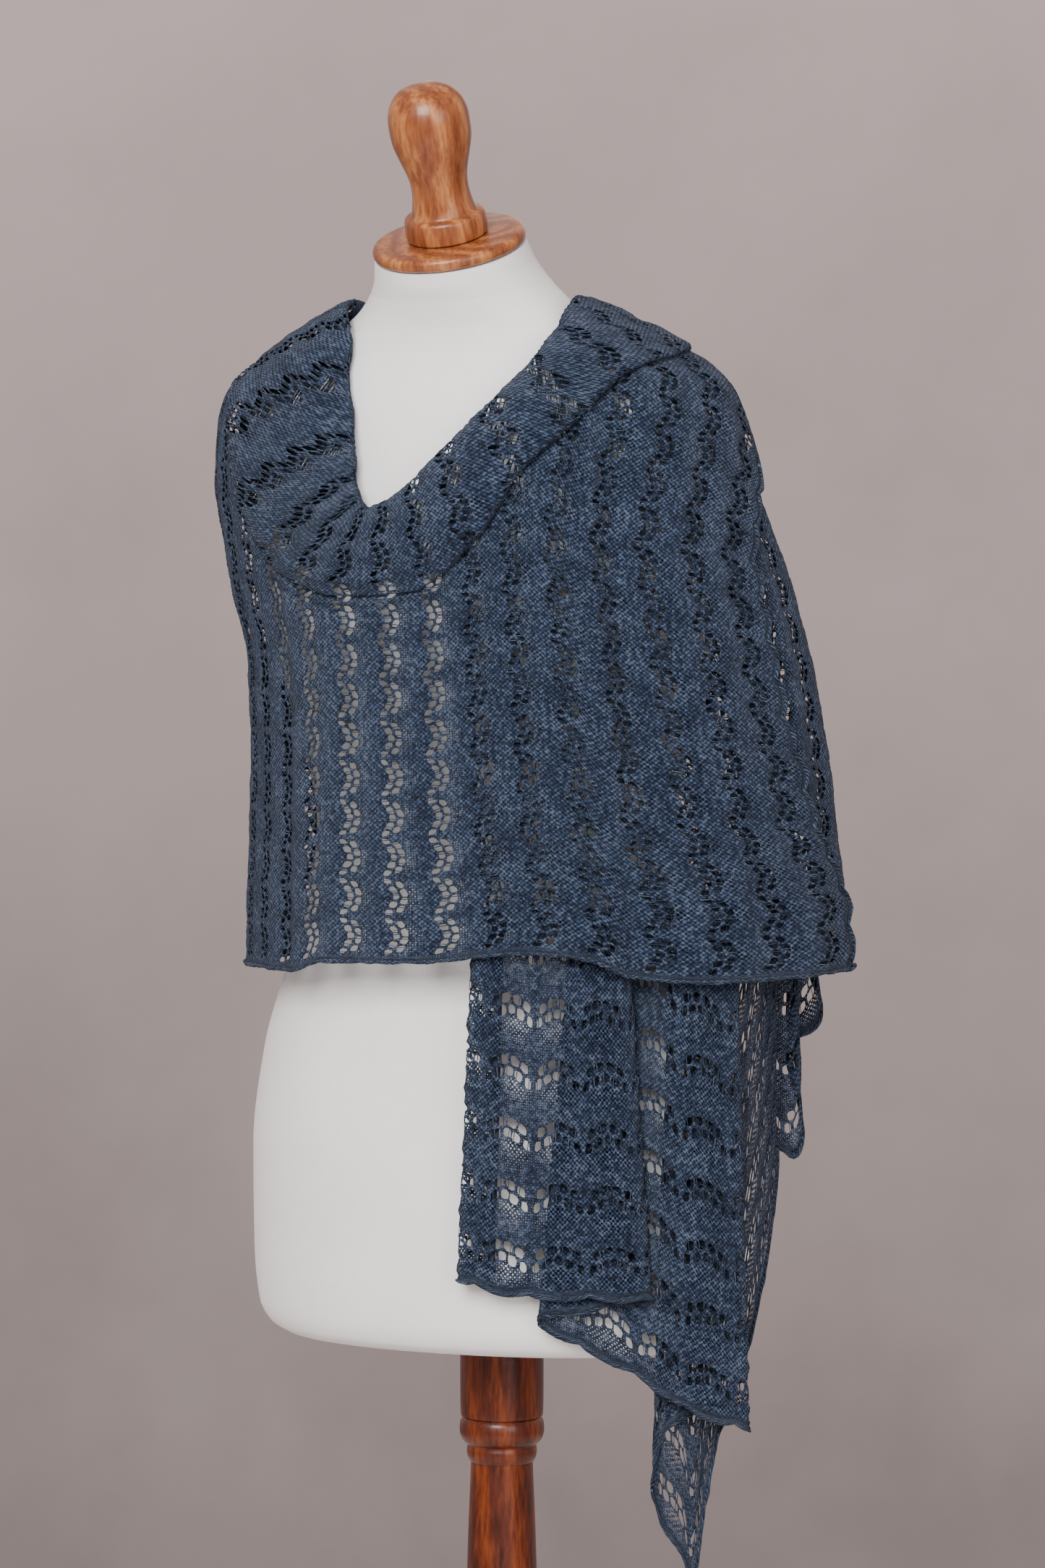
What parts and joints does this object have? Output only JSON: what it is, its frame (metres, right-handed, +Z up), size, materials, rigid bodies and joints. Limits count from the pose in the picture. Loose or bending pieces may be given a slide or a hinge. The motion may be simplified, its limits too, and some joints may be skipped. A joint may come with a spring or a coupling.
{
  "type": "lace shawl on a dress form",
  "caption": "Blue knitted lace shawl wrapped round the shoulders of a cloth-covered dress form on a turned wooden stand, one end hanging in front.",
  "frame": {"origin": "on the floor, at the middle of the round base's underside, under the post", "axes": "+Z up, -Y the way the figure faces, +X towards the figure's left arm, where the shawl's end hangs"},
  "size_m": [0.4562, 0.39, 1.6671],
  "materials": {
    "shawl_knit": "matt knitted lace of heathered slate blue yarn",
    "form_cover": "matt off-white cotton cover",
    "turned_wood": "satin varnish on striped reddish-brown wood"
  },
  "bodies": {
    "root": {"front_wrap": "shawl_knit", "right_arm_panel": "shawl_knit", "back_panel": "shawl_knit", "left_arm_panel": "shawl_knit", "under_front": "shawl_knit", "hanging_end": "shawl_knit", "front_neck_fold": "shawl_knit", "back_neck_fold": "shawl_knit", "torso": "form_cover", "neck_plate": "turned_wood", "finial": "turned_wood", "post": "turned_wood", "base_disc": "turned_wood"}
  },
  "joints": []
}
